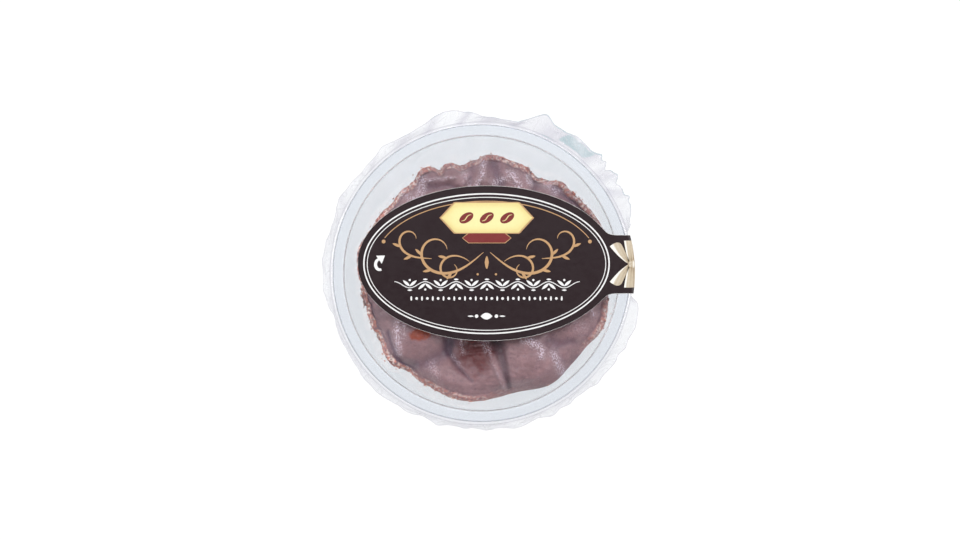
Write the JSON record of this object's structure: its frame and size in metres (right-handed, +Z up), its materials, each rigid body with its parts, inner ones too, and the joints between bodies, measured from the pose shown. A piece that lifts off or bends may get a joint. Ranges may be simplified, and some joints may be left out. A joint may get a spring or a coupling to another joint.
{
  "type": "chocolate mousse",
  "caption": "Chocolate mousse in a round clear pot with a sealed clear film lid and an oval label whose tab folds over the rim.",
  "frame": {"origin": "centre of the pot's base, on the surface it stands on", "axes": "+Z up through the pot's axis, +X towards the label's pull tab, +Y to the left of the tab as seen from above"},
  "size_m": [0.1181, 0.1199, 0.0463],
  "materials": {
    "clear_pot": "clear thin plastic with a high gloss",
    "mousse": "satin whipped chocolate mousse with fine bubbles",
    "clear_film": "clear sealing film, crinkled on the skirt",
    "label": "satin printed label, very dark brown"
  },
  "bodies": {
    "root": {"cup": "clear_pot", "mousse": "mousse", "lid_film": "clear_film", "label": "label"}
  },
  "joints": []
}
